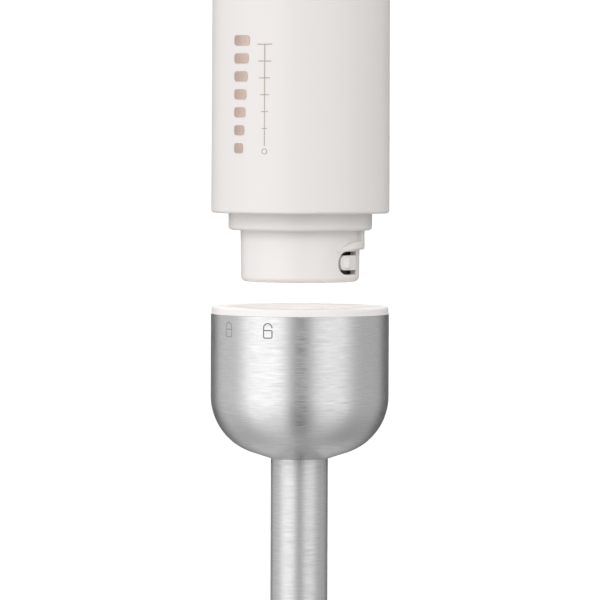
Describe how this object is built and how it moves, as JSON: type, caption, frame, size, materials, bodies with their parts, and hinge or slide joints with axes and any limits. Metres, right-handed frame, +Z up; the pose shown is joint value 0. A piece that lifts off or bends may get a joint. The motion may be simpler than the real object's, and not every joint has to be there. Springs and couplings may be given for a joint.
{
  "type": "immersion blender",
  "caption": "Handheld stick blender with a round handle, front push buttons, a top speed dial and a detachable steel blending shaft on a bayonet coupling, shown with the shaft pulled off.",
  "frame": {"origin": "centre of the hand grip, on the handle's axis, 115 mm above the handle's lower face", "axes": "+Z up along the blender's axis towards the speed dial, -Y towards the buttons on the front, +X to the right seen from the front"},
  "size_m": [0.0624, 0.0647, 0.4501],
  "materials": {
    "body_white": "satin cream-white moulded plastic",
    "neck_white": "satin white moulded plastic",
    "ring_white": "satin warm white moulded plastic with a pinkish cast",
    "dial_white": "satin cream-white, fluted rim",
    "button_white": "soft-touch light warm grey",
    "panel_grey": "glossy light warm grey",
    "rose_gold": "rose-gold anodised, satin",
    "brushed_stainless": "brushed round the axis",
    "polished_blade": "polished, ground edges",
    "bearing_steel": "ground bright",
    "spring_steel": "drawn wire",
    "zinc_steel": "zinc plated",
    "lamination_steel": "stacked silicon-steel laminations, varnished",
    "copper_wire": "enamelled copper",
    "bronze": "oil-filled sintered bronze",
    "heat_sink_aluminium": "plain extruded",
    "black_nylon": "glass-filled nylon",
    "chassis_plastic": "natural glass-filled plastic",
    "circuit_green": "fibreglass board with green solder mask",
    "capacitor_yellow": "potted film capacitor",
    "carbon": "pressed graphite",
    "black_rubber": "moulded rubber"
  },
  "bodies": {
    "handle": {"handle_barrel": "body_white", "trim_ring": "rose_gold", "top_cap": "body_white", "cap_screws": "zinc_steel", "cord_clamp": "black_nylon", "cord_clamp_screws": "zinc_steel", "potentiometer": "black_nylon", "potentiometer_board": "circuit_green", "control_panel": "panel_grey", "inner_chassis": "chassis_plastic", "circuit_board": "circuit_green", "microswitches": "black_nylon", "suppression_capacitor": "capacitor_yellow", "heat_sink": "heat_sink_aluminium", "triac": "black_nylon", "terminal_block": "black_nylon", "motor_isolator": "black_rubber", "lower_end_frame": "chassis_plastic", "lower_bearing": "bearing_steel", "motor_seal": "black_rubber", "stator_core": "lamination_steel", "field_coils": "copper_wire", "upper_end_frame": "chassis_plastic", "upper_bush": "bronze", "through_bolts": "zinc_steel", "brush_holders": "bronze", "carbon_brushes": "carbon", "brush_springs": "spring_steel", "coupling_neck": "neck_white", "neck_screws": "zinc_steel"},
    "speed_dial": {"speed_dial": "dial_white", "potentiometer_shaft": "zinc_steel"},
    "power_button": {"power_button": "button_white", "power_button_spring": "spring_steel"},
    "turbo_button": {"turbo_button": "button_white", "turbo_button_spring": "spring_steel"},
    "detent_tongue": {"detent_tongue": "neck_white"},
    "motor_rotor": {"motor_shaft": "bearing_steel", "armature_core": "lamination_steel", "armature_windings": "copper_wire", "commutator": "copper_wire", "cooling_fan": "black_nylon", "drive_coupling": "black_nylon"},
    "collar_seal": {"socket_gasket": "black_rubber"},
    "blending_shaft": {"socket_collar": "ring_white", "steel_cup": "brushed_stainless", "shaft_tube": "brushed_stainless", "blade_guard": "brushed_stainless", "upper_spindle_bush": "bronze", "lower_bearing_housing": "neck_white", "lower_spindle_bush": "bronze", "spindle_seal": "black_rubber", "seal_retainer": "bearing_steel"},
    "blade_spindle": {"drive_spindle": "bearing_steel", "driven_coupling": "bearing_steel", "spindle_circlip": "spring_steel", "blade_spacer": "neck_white", "blade": "polished_blade", "blade_nut": "polished_blade"}
  },
  "joints": [
    {"name": "shaft_insert", "type": "slide", "parent": "handle", "child": "collar_seal", "axis": [0, 0, 1], "range_m": [0, 0.0326]},
    {"name": "shaft_twist", "type": "hinge", "parent": "collar_seal", "child": "blending_shaft", "pos_m": [0, 0, -0.1557], "axis": [0, 0, 1], "range_deg": [0, 30]},
    {"name": "motor_spin", "type": "hinge", "parent": "handle", "child": "motor_rotor", "pos_m": [0, 0, -0.07], "axis": [0, 0, 1], "continuous": true},
    {"name": "blade_spin", "type": "hinge", "parent": "blending_shaft", "child": "blade_spindle", "pos_m": [0, 0, -0.3097], "axis": [0, 0, 1], "continuous": true},
    {"name": "power_button_press", "type": "slide", "parent": "handle", "child": "power_button", "axis": [0, 1, 0], "range_m": [0, 0.0015], "stiffness_N_per_m": 600, "springref_m": -0.001, "deforming": ["power_button_spring"]},
    {"name": "turbo_button_press", "type": "slide", "parent": "handle", "child": "turbo_button", "axis": [0, 1, 0], "range_m": [0, 0.0015], "stiffness_N_per_m": 600, "springref_m": -0.001, "deforming": ["turbo_button_spring"]},
    {"name": "speed_dial_turn", "type": "hinge", "parent": "handle", "child": "speed_dial", "pos_m": [0, 0, 0.085], "axis": [0, 0, 1], "range_deg": [0, 270]},
    {"name": "detent_tongue_flex", "type": "hinge", "parent": "handle", "child": "detent_tongue", "pos_m": [0.01946, 0.00503, -0.13215], "axis": [0, 0, 1], "range_deg": [-5, 0], "stiffness_Nm_per_rad": 0.3}
  ],
  "couplings": [
    {"joint": "blade_spin", "follows": "motor_spin", "ratio": 1}
  ]
}
